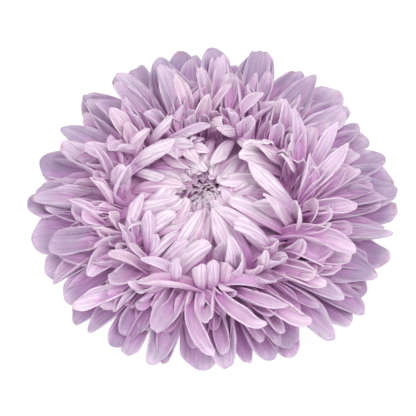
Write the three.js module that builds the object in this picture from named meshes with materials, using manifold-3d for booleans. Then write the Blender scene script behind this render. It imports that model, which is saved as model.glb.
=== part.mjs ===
// The cut head of a double china aster, lying face up, in millimetres.
// +Z points out of the face of the bloom, z = 0 is the surface under it, and -Y is the viewer's side.
import * as THREE from "three";
import { mergeVertices } from "three/addons/utils/BufferGeometryUtils.js";
import Module from "manifold-3d";

const wasm = await Module();
wasm.setup();

// Florets of the whole spiral, numbered from the outermost inwards, and the turn from each to the next.
const floretCount = 700;
const goldenTurn = 137.50776;
// The middle of the bloom stands a little off the middle of the round that the outer tips reach.
const bloomAxis = new THREE.Vector3(-1.8, -5.4, 0);
const rimMiddle = new THREE.Vector3(-0.6, 0.5, 0);
// The head stands this much above the heights in the tables below.
const headLift = 2.2;
// The share of the spiral's florets that is kept, by number: most of them shape the outline and the crest.
const keptShares = [
  { before: 90, kept: 2, every: 3 },
  { before: 300, kept: 1, every: 16 },
  { before: 460, kept: 1, every: 5 },
  { before: floretCount, kept: 1, every: 19 },
];
const bladeThickness = 0.7;
const bladeStations = [0, 0.42, 0.88];
const ribSteps = 9;
// How far along a floret its blade is widest, and how wide its foot is for its width.
const widestAt = 0.62;
const footShare = 0.45;

// Florets that spread outwards, by their place in the spiral: 0 is outermost and 1 the middle of the bloom.
const outward = {
  place: [0, 0.06, 0.13, 0.22, 0.3, 0.38, 0.46, 1],
  rootRadius: [9, 11, 13.5, 17.5, 21, 23.5, 25, 25],
  rootHeight: [6, 6.5, 7, 8, 9, 10, 11, 11],
  startAngle: [8, 8, 12, 20, 34, 52, 70, 70],
  endAngle: [-2, 2, 8, 28, 62, 95, 115, 115],
  length: [41, 38.5, 32, 23.5, 18, 16, 16.5, 16.5],
  width: [10.2, 10.0, 9.2, 8.4, 7.4, 6.6, 6.2, 6.2],
  cup: [0.9, 1.2, 1.6, 1.9, 1.9, 1.7, 1.5, 1.5],
  bend: [1, 1, 1, 1.2, 1.3, 1.3, 1.2, 1.2],
  unrest: [0.3, 0.4, 0.8, 1.3, 1.7, 1.8, 1.9, 1.9],
};
// Florets that arch over the middle.
const inward = {
  place: [0, 0.32, 0.44, 0.56, 0.68, 0.79, 0.88, 1],
  rootRadius: [25.5, 25.5, 26, 23.5, 19.5, 15.5, 11, 0.8],
  rootHeight: [10.5, 10.5, 10.8, 12, 13, 13, 13.8, 15.6],
  startAngle: [98, 98, 106, 118, 126, 124, 116, 96],
  endAngle: [160, 160, 184, 186, 182, 174, 162, 120],
  length: [17.5, 17.5, 23, 21.5, 17.5, 11.5, 7.5, 5.5],
  width: [6.4, 6.4, 5.4, 5.2, 4.8, 4.2, 3.2, 2.5],
  cup: [1.0, 1.0, 0.9, 0.8, 0.8, 0.8, 0.8, 0.8],
  bend: [0.8, 0.8, 0.6, 0.6, 0.65, 0.8, 1, 1],
  unrest: [1.6, 1.6, 1.1, 0.85, 0.75, 0.6, 0.45, 0.5],
};
// How the head differs round its rim, in degrees or shares, with the headings where each is greatest: one
// side is longer, one is wilder, one is combed back, and the front droops and parts to left and right.
const rimHabit = {
  longer: 0.12,
  longerHeading: -30,
  wilder: 0.35,
  wilderHeading: 150,
  combed: 28,
  combedHeading: 20,
  droop: 18,
  outerDroop: 16,
  partLean: 12,
  partSwerve: 28,
  partHook: 20,
};
// How far a floret strays to either side of its table where the unrest is 1, in degrees and shares.
const stray = { heading: 4, lean: 26, startAngle: 8, endAngle: 24, length: 0.09, swerve: 40, twist: 50 };
// Florets that catch the eye, set by hand in the stead of the nearest ones of the spiral: where each stands
// round the middle of the bloom, how it rises and bends over, how it turns aside and rolls, and its shape.
const standouts = {
  first: 100,
  last: 450,
  room: 2.0,
  angles: ["heading", "startAngle", "endAngle", "lean", "swerve", "twist", "hook"],
  columns: [
    "heading", "rootRadius", "startAngle", "endAngle", "bend", "lean", "swerve", "twist", "length",
    "width", "cup", "tip", "hook",
  ],
  rows: [
    [-78, 22, 90, 130, 1.0, 0, 0, 0, 15, 6.4, 1.0, 0.8, 0],
    [-87, 25.5, 75, 120, 1.0, 0, 0, 0, 16, 4.6, 1.1, 0.7, 0],
    [-94, 25.5, 75, 115, 1.0, 5, 0, 0, 15, 5.4, 1.1, 0.7, 0],
    [-80, 25, 80, 115, 1.0, -45, 0, 0, 14, 6.6, 1.0, 0.8, 0],
    [-125, 23, 95, 160, 0.8, -35, 0, 20, 15, 4.8, 1.1, 0.5, 0],
    [-105, 24, 85, 5, 0.6, -87, 0, 20, 17, 4.4, 1.2, 0.4, 0],
    [-128, 25.5, 70, 15, 0.7, -59, 0, 10, 15, 4.4, 1.4, 0.6, 0],
    [-130, 24, 80, 50, 0.8, -68, 0, 0, 14, 3.0, 1.5, 0.4, 10],
    [-92, 25.5, 80, -10, 0.45, -74, -24, 35, 22, 6.6, 1.8, 0.4, 24],
    [-95, 25.5, 75, -30, 0.5, 44, 0, 0, 13, 4.4, 1.0, 0.3, 0],
    [-84, 25.5, 85, -55, 0.8, 80, 0, 0, 17, 4.4, 1.2, 0.6, 0],
    [-76, 25.5, 70, 0, 0.45, 44, 26, 5, 20, 5.4, 2.2, 0.3, 30],
    [-82, 25.5, 60, -8, 0.45, 30, 30, 15, 22, 6.8, 2.0, 0.4, 40],
    [-25, 24, 85, -40, 0.6, -120, 0, 20, 17, 5.6, 1.2, 0.5, 0],
    [-33, 24, 85, -50, 0.8, 10, 0, 0, 17, 7.0, 0.8, 0.9, -40],
    [-45, 24, 75, 95, 1.0, 0, 0, 0, 13, 8.4, 2.4, 0.7, 0],
    [-50, 25.5, 80, -8, 0.4, 14, 24, 15, 20, 7.4, 1.8, 0.5, 30],
    [-56, 25.5, 50, -8, 0.4, 0, 28, 25, 24, 7.4, 1.8, 0.5, 35],
    [-125, 25.5, 30, -10, 0.4, -22, -24, 15, 24, 7.6, 1.8, 0.6, 25],
    [-100, 25.5, 50, -8, 0.4, -34, -28, 15, 26, 5.6, 1.9, 0.4, 20],
    [35, 25.5, 65, 35, 1.0, 53, 0, 30, 21, 5.0, 1.2, 0.3, 0],
    [15, 25.5, 65, 35, 1.0, 74, 10, 30, 25, 5.2, 1.2, 0.3, 0],
    [-2, 25.5, 80, 45, 1.0, 78, 0, 75, 21, 6.6, 1.1, 0.4, 0],
    [10, 25.5, 50, 30, 1.0, 45, 0, 20, 24, 5.0, 1.4, 0.3, 0],
    [-2, 23, 60, 20, 0.8, 35, 10, 45, 26, 6.0, 1.4, 0.3, 0],
    [-10, 23, 85, -5, 0.4, 0, 20, 15, 22, 7.6, 1.5, 0.5, 15],
    [-28, 22, 85, -8, 0.35, 18, -22, 15, 26, 8.4, 1.5, 0.6, 20],
    [125, 22, 90, 0, 0.7, -112, 0, 0, 21, 4.4, 1.0, 0.3, 0],
    [140, 25.5, 70, 40, 1.0, -26, 0, 0, 13, 6.0, 1.4, 0.5, 0],
    [180, 25.5, 75, 45, 1.0, -26, 0, 60, 15, 5.6, 2.2, 0.4, 0],
    [195, 25.5, 95, 60, 1.0, -20, 0, 0, 11, 4.6, 1.0, 0.8, 0],
    [217, 25.5, 90, 55, 1.0, -80, 0, 40, 17, 4.0, 1.5, 0.4, 0],
    [212, 23, 90, 65, 1.0, -85, 0, 30, 14, 3.8, 1.5, 0.5, 0],
    [224, 22, 100, 150, 1.0, 46, 0, 0, 15, 4.4, 1.0, 0.6, 0],
    [230, 23, 95, 150, 1.0, 27, 0, 0, 12, 3.8, 1.1, 0.6, 0],
    [175, 25.5, 95, 150, 1.0, 73, 0, 0, 14, 7.0, 1.0, 0.8, 0],
    [160, 25.5, 75, -20, 0.9, -131, 0, 20, 16, 4.4, 1.2, 0.4, 0],
    [165, 25.5, 65, 45, 1.0, -30, 0, 30, 18, 4.2, 1.8, 0.3, 0],
    [195, 25, 45, 25, 1.0, -33, 0, 40, 18, 4.4, 1.8, 0.3, 0],
    [95, 25.5, 65, 35, 1.0, -56, 0, -20, 19, 3.8, 1.4, 0.4, 0],
    [80, 25.5, 60, 25, 1.0, -52, 0, 0, 18, 4.6, 1.2, 0.4, 0],
    [98, 25.5, 60, 40, 1.0, 20, 0, 0, 19, 5.4, 1.5, 0.4, 0],
    [62, 24, 90, 75, 1.0, -30, 0, 0, 15, 8.8, 2.4, 0.7, 20],
    [135, 25.5, 50, 40, 1.0, 2, 0, 0, 18, 6.6, 1.4, 0.6, 0],
  ],
};

// The fleshy cushion that the florets grow from, as radius and height from its bottom to its top.
const cushionProfile = [
  [0, 4.6], [8.5, 4.6], [12, 5.4], [16, 6.2], [20.5, 7], [24, 8], [26, 9.2], [26.8, 11.2],
  [25.5, 12.6], [22, 13.9], [18, 14.3], [13, 14.8], [8, 16], [0, 17],
];
const cushionSides = 24;

// The green cup under the cushion, its leafy bracts, and the cut stub of the stem.
const cupProfile = [[0, 4.2], [3.3, 3.8], [5.2, 4.1], [8.4, 5.1], [10.2, 6.1], [8.4, 6.3], [0, 6.3]];
const cupSides = 24;
const bractRows = [
  { count: 13, rootRadius: 7.4, rootHeight: 5.5, startAngle: -4, endAngle: -34, length: 21, width: 5.2 },
  { count: 13, rootRadius: 5.8, rootHeight: 4.8, startAngle: -10, endAngle: -20, length: 16, width: 4.6 },
];
const bractThickness = 0.8;
// The lowest that the line of a blade reaches, where a bract's tip meets the surface.
const surfaceClearance = 0.02;
const bractStations = [0, 0.3, 0.55, 0.8];
const stemRadius = 2.7;
const stemTop = 3.5;
const stemSides = 20;

const radians = (degrees) => (degrees * Math.PI) / 180;

// A number from 0 to 1 that depends only on the two whole numbers given.
function draw(i, k) {
  const x = Math.sin(i * 12.9898 + k * 78.233) * 43758.5453;
  return x - Math.floor(x);
}

// The same, from -1 to 1.
function spread(i, k) {
  return 2 * draw(i, k) - 1;
}

function smooth(x) {
  const t = Math.min(1, Math.max(0, x));
  return t * t * (3 - 2 * t);
}

// The value of one row of a table at a place in the spiral, straight between the table's own places.
function valueAt(table, name, place) {
  const places = table.place;
  const values = table[name];
  for (let j = 0; j < places.length - 1; j++) {
    if (place <= places[j + 1]) {
      const t = (place - places[j]) / (places[j + 1] - places[j]);
      return values[j] + (values[j + 1] - values[j]) * t;
    }
  }
  return values[values.length - 1];
}

// How far a floret follows the inward table: 0 not at all, 1 fully. Neighbours differ, as on the real head.
function inwardShare(i, place, front) {
  const own = 0.3 * spread(i, 17) * smooth(place / 0.28);
  return Math.min(1, Math.max(0, (place - 0.27) / 0.2 + own + 0.15 * front));
}

// All that shapes one floret of the spiral.
function floret(i) {
  const place = i / (floretCount - 1);
  const base = radians(i * goldenTurn);
  const front = -Math.sin(base);
  const share = inwardShare(i, place, front);
  const mean = (name) => valueAt(outward, name, place) * (1 - share) + valueAt(inward, name, place) * share;
  const toward = (heading) => Math.cos(base - radians(heading));
  // What keeps the outline round.
  const off = rimMiddle.clone().sub(bloomAxis);
  const reach = (off.x * Math.cos(base) + off.y * Math.sin(base)) * (1 - smooth(place / 0.45));
  const longer = rimHabit.longer * toward(rimHabit.longerHeading) * smooth(place / 0.3);
  const wilder = 1 + rimHabit.wilder * toward(rimHabit.wilderHeading) * smooth(place / 0.2);
  const unrest = mean("unrest") * wilder;
  const innerDroop = rimHabit.droop * front * (1 - share) * smooth(place / 0.4);
  const droop = innerDroop + rimHabit.outerDroop * Math.max(0, front) * (1 - smooth(place / 0.2));
  const combed = Math.max(0, toward(rimHabit.combedHeading)) ** 2 * smooth(place / 0.15) * (1 - share);
  const aside = Math.min(1, Math.max(-1, 3 * Math.cos(base)));
  const parting = aside * smooth((front - 0.2) / 0.5) * smooth((place - 0.1) / 0.12) * (1 - share);
  const astray = (name, k) => stray[name] * unrest * spread(i, k);
  return {
    heading: base + radians(astray("heading", 1)),
    lean: radians(rimHabit.combed * combed + rimHabit.partLean * parting + astray("lean", 15)),
    rootRadius: mean("rootRadius"),
    rootHeight: headLift + mean("rootHeight") + 0.8 * spread(i, 2),
    startAngle: radians(mean("startAngle") + astray("startAngle", 3)),
    endAngle: radians(mean("endAngle") + astray("endAngle", 4) - droop),
    bend: mean("bend") * (0.75 + 0.6 * draw(i, 5)),
    length: reach + mean("length") * (1 + 0.03 * spread(i, 6) + astray("length", 6) + longer),
    width: mean("width") * (1 + 0.22 * spread(i, 7)),
    cup: mean("cup") * (0.55 + 1.1 * draw(i, 8) ** 1.5),
    swerve: radians(rimHabit.partSwerve * parting + astray("swerve", 9)),
    twist: radians(astray("twist", 10)),
    tip: 0.3 + 0.5 * draw(i, 11),
    hook: radians(10 + rimHabit.partHook * Math.abs(parting) + 45 * spread(i, 16)),
  };
}

function rootPoint(blade) {
  const out = new THREE.Vector3(blade.rootRadius, 0, blade.rootHeight);
  return out.applyAxisAngle(new THREE.Vector3(0, 0, 1), blade.heading).add(bloomAxis);
}

function isKept(i) {
  const { kept, every } = keptShares.find(({ before }) => i < before);
  return i % every < kept;
}

// The florets by number. Each one set by hand takes the place of the nearest and keeps some room round it.
function placedFlorets() {
  const florets = new Map();
  for (let i = 0; i < floretCount; i++) florets.set(i, floret(i));
  const taken = new Set();
  for (const row of standouts.rows) {
    const given = Object.fromEntries(standouts.columns.map((name, k) => [name, row[k]]));
    for (const name of standouts.angles) given[name] = radians(given[name]);
    const foot = rootPoint({ ...given, rootHeight: 0 });
    const free = [];
    for (let i = standouts.first; i < standouts.last; i++) {
      if (!florets.has(i) || taken.has(i)) continue;
      free.push({ i, away: rootPoint({ ...florets.get(i), rootHeight: 0 }).distanceTo(foot) });
    }
    free.sort((a, b) => a.away - b.away);
    const nearest = free.shift().i;
    florets.set(nearest, { ...florets.get(nearest), ...given });
    taken.add(nearest);
    for (const { i, away } of free) if (away < standouts.room) florets.delete(i);
  }
  return [...florets].filter(([i]) => taken.has(i) || isKept(i)).map(([, blade]) => blade);
}

// The midrib of a blade as points with the three directions at each: along it, to its side and out.
function midrib(blade) {
  const place = rootPoint(blade);
  const rib = [];
  for (let k = 0; k <= ribSteps; k++) {
    const b = k / ribSteps;
    const turn = blade.startAngle + (blade.endAngle - blade.startAngle) * b ** blade.bend;
    const rise = turn + blade.hook * Math.max(0, (b - 0.7) / 0.3) ** 2;
    const yaw = blade.heading + blade.lean + blade.swerve * b;
    const level = new THREE.Vector3(-Math.sin(yaw), Math.cos(yaw), 0);
    const flat = new THREE.Vector3(Math.cos(yaw), Math.sin(yaw), 0);
    const along = flat.multiplyScalar(Math.cos(rise)).setZ(Math.sin(rise));
    const face = new THREE.Vector3().crossVectors(along, level);
    const roll = blade.twist * b;
    const side = level.clone().multiplyScalar(Math.cos(roll)).addScaledVector(face, Math.sin(roll));
    const up = face.clone().multiplyScalar(Math.cos(roll)).addScaledVector(level, -Math.sin(roll));
    rib.push({ place: place.clone(), along, side, up });
    place.addScaledVector(along, blade.length / ribSteps);
    place.z = Math.max(place.z, surfaceClearance);
  }
  return rib;
}

// The midrib at any share b of the blade's length.
function ribAt(rib, b) {
  const k = Math.min(ribSteps - 1, Math.floor(b * ribSteps));
  const f = b * ribSteps - k;
  const mixed = {};
  for (const name of ["place", "along", "side", "up"]) {
    mixed[name] = rib[k][name].clone().lerp(rib[k + 1][name], f);
  }
  return mixed;
}

function halfWidth(blade, b) {
  if (b < widestAt) return 0.5 * blade.width * (footShare + (1 - footShare) * smooth(b / widestAt));
  const t = (b - widestAt) / (1 - widestAt);
  return 0.5 * blade.width * (1 - (1 - blade.tip) * t ** 3);
}

// A closed solid from points and triangles that face outwards.
function solidOf(points, triangles) {
  const vertProperties = new Float32Array(points.length * 3);
  points.forEach((point, i) => vertProperties.set(point.toArray(), 3 * i));
  const triVerts = new Uint32Array(triangles);
  return new wasm.Manifold(new wasm.Mesh({ numProp: 3, vertProperties, triVerts }));
}

// One blade: a cupped strap, thickest along its midrib, with its two faces split into triangles alike.
function bladeSolid(blade, stations, thickness) {
  const rib = midrib(blade);
  const points = [];
  const triangles = [];
  for (const b of stations) {
    const { place, side, up } = ribAt(rib, b);
    const w = Math.max(halfWidth(blade, b), 0.5);
    const curl = Math.max(0.05, blade.cup * (0.6 + 0.4 * Math.sin(Math.PI * b)));
    const bent = Math.min(curl, Math.PI / 2);
    const out = (w * Math.sin(bent)) / curl;
    const lift = (w * (1 - Math.cos(bent))) / curl;
    const put = (x, z) => points.push(place.clone().addScaledVector(side, x).addScaledVector(up, z));
    put(-out, lift);
    put(0, thickness / 2);
    put(out, lift);
    put(0, -thickness / 2);
  }
  points.push(ribAt(rib, 1).place);
  const last = stations.length - 1;
  for (let k = 0; k < last; k++) {
    for (let j = 0; j < 4; j++) {
      const a = 4 * k + j;
      const b = 4 * k + ((j + 1) % 4);
      if (j % 2 === 0) triangles.push(a, b + 4, b, a, a + 4, b + 4);
      else triangles.push(a, a + 4, b, b, a + 4, b + 4);
    }
  }
  const tip = points.length - 1;
  for (let j = 0; j < 4; j++) triangles.push(4 * last + j, tip, 4 * last + ((j + 1) % 4));
  triangles.push(0, 1, 2, 0, 2, 3);
  return solidOf(points, triangles);
}

// A round solid about the bloom's axis, from its profile of radius and height.
function turned(profile, sides, lift) {
  const outline = profile.map(([radius, height]) => new THREE.Vector2(radius, height + lift));
  const geometry = new THREE.LatheGeometry(outline, sides).rotateX(Math.PI / 2);
  geometry.deleteAttribute("normal");
  geometry.deleteAttribute("uv");
  geometry.translate(bloomAxis.x, bloomAxis.y, 0);
  const merged = mergeVertices(geometry, 1e-3);
  const vertProperties = merged.attributes.position.array;
  const triVerts = new Uint32Array(merged.index.array);
  return new wasm.Manifold(new wasm.Mesh({ numProp: 3, vertProperties, triVerts }));
}

// The pieces joined into one body, with any pocket that they close in between them filled.
function joined(pieces) {
  const bodies = wasm.Manifold.union(pieces).decompose();
  const outer = bodies.filter((body) => body.volume() > 0);
  if (outer.length !== 1) throw new Error(`${outer.length} separate bodies`);
  return outer[0];
}

function rayFlorets() {
  const pieces = [turned(cushionProfile, cushionSides, headLift)];
  for (const blade of placedFlorets()) pieces.push(bladeSolid(blade, bladeStations, bladeThickness));
  return joined(pieces);
}

// One leafy bract: it spreads from the cup under the florets and droops until its tip meets the surface.
function bract(row, rowNumber, j) {
  const i = 1000 + 100 * rowNumber + j;
  return {
    heading: radians((360 * (j + 0.5 * rowNumber)) / row.count + 5 * spread(i, 1)),
    lean: radians(6 * spread(i, 2)),
    rootRadius: row.rootRadius,
    rootHeight: row.rootHeight,
    startAngle: radians(row.startAngle),
    endAngle: radians(row.endAngle + 3 * spread(i, 4)),
    bend: 1,
    length: row.length * (1 + 0.05 * spread(i, 6)),
    width: row.width * (1 + 0.12 * spread(i, 7)),
    cup: 0.35,
    swerve: radians(8 * spread(i, 9)),
    twist: radians(10 * spread(i, 10)),
    tip: 0.45,
    hook: 0,
  };
}

function bracts() {
  const pieces = [turned(cupProfile, cupSides, 0)];
  bractRows.forEach((row, rowNumber) => {
    for (let j = 0; j < row.count; j++) {
      pieces.push(bladeSolid(bract(row, rowNumber, j), bractStations, bractThickness));
    }
  });
  return joined(pieces);
}

function stem() {
  return turned([[0, 0], [stemRadius, 0], [stemRadius, stemTop], [0, stemTop]], stemSides, 0);
}

const petalLilac = new THREE.MeshStandardMaterial({ color: 0xc9abc9, roughness: 0.6 });
const leafGreen = new THREE.MeshStandardMaterial({ color: 0x66803f, roughness: 0.65 });
const stemGreen = new THREE.MeshStandardMaterial({ color: 0x7f9455, roughness: 0.6 });

function meshOf(name, solid, material) {
  const made = solid.getMesh();
  const geometry = new THREE.BufferGeometry();
  geometry.setAttribute("position", new THREE.BufferAttribute(made.vertProperties, 3));
  geometry.setIndex(new THREE.BufferAttribute(made.triVerts, 1));
  geometry.computeVertexNormals();
  const mesh = new THREE.Mesh(geometry, material);
  mesh.name = name;
  return mesh;
}

const bloom = new THREE.Group();
bloom.name = "china_aster";
bloom.add(meshOf("ray_florets", rayFlorets(), petalLilac));
bloom.add(meshOf("bracts", bracts(), leafGreen));
bloom.add(meshOf("stem", stem(), stemGreen));

export default bloom;
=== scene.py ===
import math
import bpy
import bmesh
from mathutils import Matrix, Vector
from mathutils.bvhtree import BVHTree


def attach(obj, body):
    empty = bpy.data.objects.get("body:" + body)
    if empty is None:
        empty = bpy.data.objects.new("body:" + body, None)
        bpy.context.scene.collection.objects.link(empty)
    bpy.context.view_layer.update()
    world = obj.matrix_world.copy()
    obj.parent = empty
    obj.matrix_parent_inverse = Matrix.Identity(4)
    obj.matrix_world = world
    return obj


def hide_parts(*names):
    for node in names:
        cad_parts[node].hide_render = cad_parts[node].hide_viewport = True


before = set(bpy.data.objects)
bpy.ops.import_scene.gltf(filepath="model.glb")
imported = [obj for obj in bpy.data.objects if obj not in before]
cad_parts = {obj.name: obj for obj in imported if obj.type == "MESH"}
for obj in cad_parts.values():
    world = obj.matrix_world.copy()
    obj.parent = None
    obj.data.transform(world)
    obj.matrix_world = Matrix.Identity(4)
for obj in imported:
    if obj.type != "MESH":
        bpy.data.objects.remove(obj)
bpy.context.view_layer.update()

# The cut head of a double china aster, lying face up.
# Lengths in the tables are in millimetres and angles in degrees.
mm = 0.001
body = "root"


# A number from 0 to 1 that depends only on the floret's own number and on k, which differs from use to use
def draw(i, k):
    x = math.sin(i * 12.9898 + k * 78.233) * 43758.5453
    return x - math.floor(x)


# The same, from -1 to 1
def spread(i, k):
    return 2 * draw(i, k) - 1


def smoothStep(x):
    x = min(1, max(0, x))
    return x * x * (3 - 2 * x)


# Camera: the photograph looks down on the face of the bloom from the front
view = {
    'elevation': 58,
    'distance': 550,
    'target': (-1.7, -0.5, 8),
    'across': 115.5,  # what the frame takes in at the target
    'sensor': 36,
}


def addCamera():
    elevation = math.radians(view['elevation'])
    back = Vector((0, -math.cos(elevation), math.sin(elevation)))
    camera = bpy.data.objects.new('camera', bpy.data.cameras.new('camera'))
    camera.location = (Vector(view['target']) + back * view['distance']) * mm
    camera.rotation_mode = 'QUATERNION'
    camera.rotation_quaternion = (-back).to_track_quat('-Z', 'Y')
    camera.data.sensor_width = view['sensor']
    camera.data.lens = view['sensor'] * view['distance'] / view['across']
    bpy.context.scene.collection.objects.link(camera)
    bpy.context.scene.camera = camera


addCamera()
print('camera set')

# The head as a whole. Florets are numbered along one spiral, 0 outermost
head = {
    'florets': 700,
    'turn': 137.50776,  # from each floret to the next
    'lift': 2.2,  # how far the head stands above the heights in the tables
    'axis': (-1.8, -5.4),  # the middle of the bloom
    'rimMiddle': (-0.6, 0.5),  # the middle of the round that the outer tips reach
    'thinFrom': 400,  # from this number to the next, one floret in so many is left out
    'thinTo': 600,
    'thinEvery': 6,
    'thinAt': 2,
    'bladeThickness': 0.42,
    'floor': -100,  # no floret reaches this low, only bracts lie on the ground
}
# The form that florets and bracts share, with places along a blade and across its half as shares
bladeForm = {
    'ribSteps': 9,
    'widestAt': 0.62,
    'footShare': 0.45,
    'tipPower': 3,
    'cupAtEnds': 0.6,
    'cupSwell': 0.4,
    'cupRange': (0.05, 3),
    'ridge': 0.42,
    'ridgeWaves': 2.5,
    'rimRoll': 0.4,
    'rimRollPower': 6,
    'reliefWidth': 2.5,  # the half width from which ridges and rolled rims are full
    'unevenEdge': 0.07,
    'unevenWaves': 8,
    'edgeWaves': 9,
    'edgesApart': 2,  # how far the waves of one edge are ahead of the other's
    'waveTurn': 6.28,
    'tipFrom': 0.7,  # where the blade begins to hook and to round off
    'tipOver': 0.3,
    'tipBack': 0.33,
}
# Florets moved a little, one by one: degrees round the head, and how much longer
nudges = {
    5: (0, 3), 7: (0, 4), 16: (0, 1.5), 18: (0, 3), 19: (0, -1.5), 20: (-2, 3), 23: (0, 2), 25: (0, 3),
    28: (3, 2.5), 33: (2, 3), 36: (0, 1.5), 39: (0, 2), 47: (0, 3.5), 49: (-8, 3), 50: (-4, 1), 52: (-5, 3.5),
    58: (0, 2.5), 62: (2, 3), 63: (0, 2), 66: (-4, 0), 81: (0, 2), 92: (0, 2.5), 93: (0, 2.5), 296: (0, -0.8),
}

# Florets that spread outwards, by their place in the spiral: 0 outermost, 1 the middle of the bloom
outward = {
    'place': [0, 0.06, 0.13, 0.22, 0.3, 0.38, 0.46, 1],
    'rootRadius': [9, 11, 13.5, 17.5, 21, 23.5, 25, 25],
    'rootHeight': [6, 6.5, 7, 8, 9, 10, 11, 11],
    'startAngle': [8, 8, 12, 20, 34, 52, 70, 70],
    'endAngle': [-2, 2, 8, 28, 62, 95, 115, 115],
    'length': [41, 38.5, 32, 23.5, 18, 16, 16.5, 16.5],
    'width': [10.2, 10.0, 9.2, 8.4, 7.4, 6.6, 6.2, 6.2],
    'cup': [0.9, 1.2, 1.6, 1.9, 1.9, 1.7, 1.5, 1.5],
    'bend': [1, 1, 1, 1.2, 1.3, 1.3, 1.2, 1.2],
    'unrest': [0.3, 0.4, 0.8, 1.3, 1.7, 1.8, 1.9, 1.9],
}
# Florets that arch over the middle
inward = {
    'place': [0, 0.32, 0.44, 0.56, 0.68, 0.79, 0.88, 1],
    'rootRadius': [25.5, 25.5, 26, 23.5, 19.5, 15.5, 11, 0.8],
    'rootHeight': [10.5, 10.5, 10.8, 12, 13, 13, 13.8, 15.6],
    'startAngle': [98, 98, 106, 118, 126, 124, 116, 96],
    'endAngle': [160, 160, 184, 186, 182, 174, 162, 120],
    'length': [17.5, 17.5, 23, 21.5, 17.5, 11.5, 7.5, 5.5],
    'width': [6.4, 6.4, 5.4, 5.2, 4.8, 4.2, 3.0, 2.1],
    'cup': [1.0, 1.0, 0.9, 0.8, 0.8, 0.8, 0.8, 0.8],
    'bend': [0.8, 0.8, 0.6, 0.6, 0.65, 0.8, 1, 1],
    'unrest': [1.6, 1.6, 0.9, 0.55, 0.45, 0.4, 0.3, 0.25],
}


# One row of a table at a place in the spiral, straight between the table's own places
def valueAt(table, name, place):
    places, values = table['place'], table[name]
    for j in range(len(places) - 1):
        if place <= places[j + 1]:
            t = (place - places[j]) / (places[j + 1] - places[j])
            return values[j] + (values[j + 1] - values[j]) * t
    return values[-1]


# Where along the spiral florets go over to the inward table, how far each is ahead of its neighbours or
# behind, and how far the front is ahead. An arching floret has its colour from a place pulled inwards
arch = {'from': 0.27, 'over': 0.2, 'own': 0.3, 'ownOver': 0.28, 'front': 0.15, 'colourFrom': 0.5}
# How the head differs round its rim: one side is longer, one is wilder, one is combed back, and the front
# droops, parts to left and right and has deeper boats. A heading is where the habit is greatest, and a pair
# says where it begins to change and over how much, along the spiral or towards the front
rimHabit = {
    'longer': 0.12,
    'longerHeading': -30,
    'longerOver': (0, 0.3),
    'wilder': 0.35,
    'wilderHeading': 150,
    'wilderOver': (0, 0.2),
    'combed': 28,
    'combedHeading': 20,
    'combedOver': (0, 0.15),
    'droop': 18,
    'droopOver': (0, 0.4),
    'outerDroop': 16,
    'outerDroopOver': (0, 0.2),
    'partLean': 4,
    'partSwerve': 42,
    'partHook': 20,
    'partSharpness': 3,
    'partFront': (0.2, 0.5),
    'partOver': (0.1, 0.12),
    'boatCup': 0.35,
    'boatHook': 30,
    'boatOver': (0.05, 0.1),
    'wider': 0.24,
    'widerTip': 0.25,
    'widerLeast': 0.4,
    'widerOver': (0, 0.15),
    'roundOver': (0, 0.45),
}
# How far a floret strays to either side of its table where the unrest is 1
stray = {'heading': 4, 'lean': 26, 'startAngle': 8, 'endAngle': 24, 'length': 0.09, 'swerve': 40,
         'twist': 50, 'wave': 0.35}
# How florets differ whatever the unrest: to either side, or from a least value up through some room
own = {'rootHeight': 0.8, 'length': 0.03, 'width': 0.22, 'skew': 0.3, 'hook': 10, 'hookSides': 45,
       'bend': 0.75, 'bendRoom': 0.6, 'cup': 0.55, 'cupRoom': 1.1, 'cupPower': 1.5, 'tip': 0.25,
       'tipRoom': 0.5}


# How far a floret follows the inward table. Neighbours differ, as on the real head
def inwardShare(i, place, front):
    ahead = arch['own'] * spread(i, 17) * smoothStep(place / arch['ownOver'])
    return min(1, max(0, (place - arch['from']) / arch['over'] + ahead + arch['front'] * front))


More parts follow.
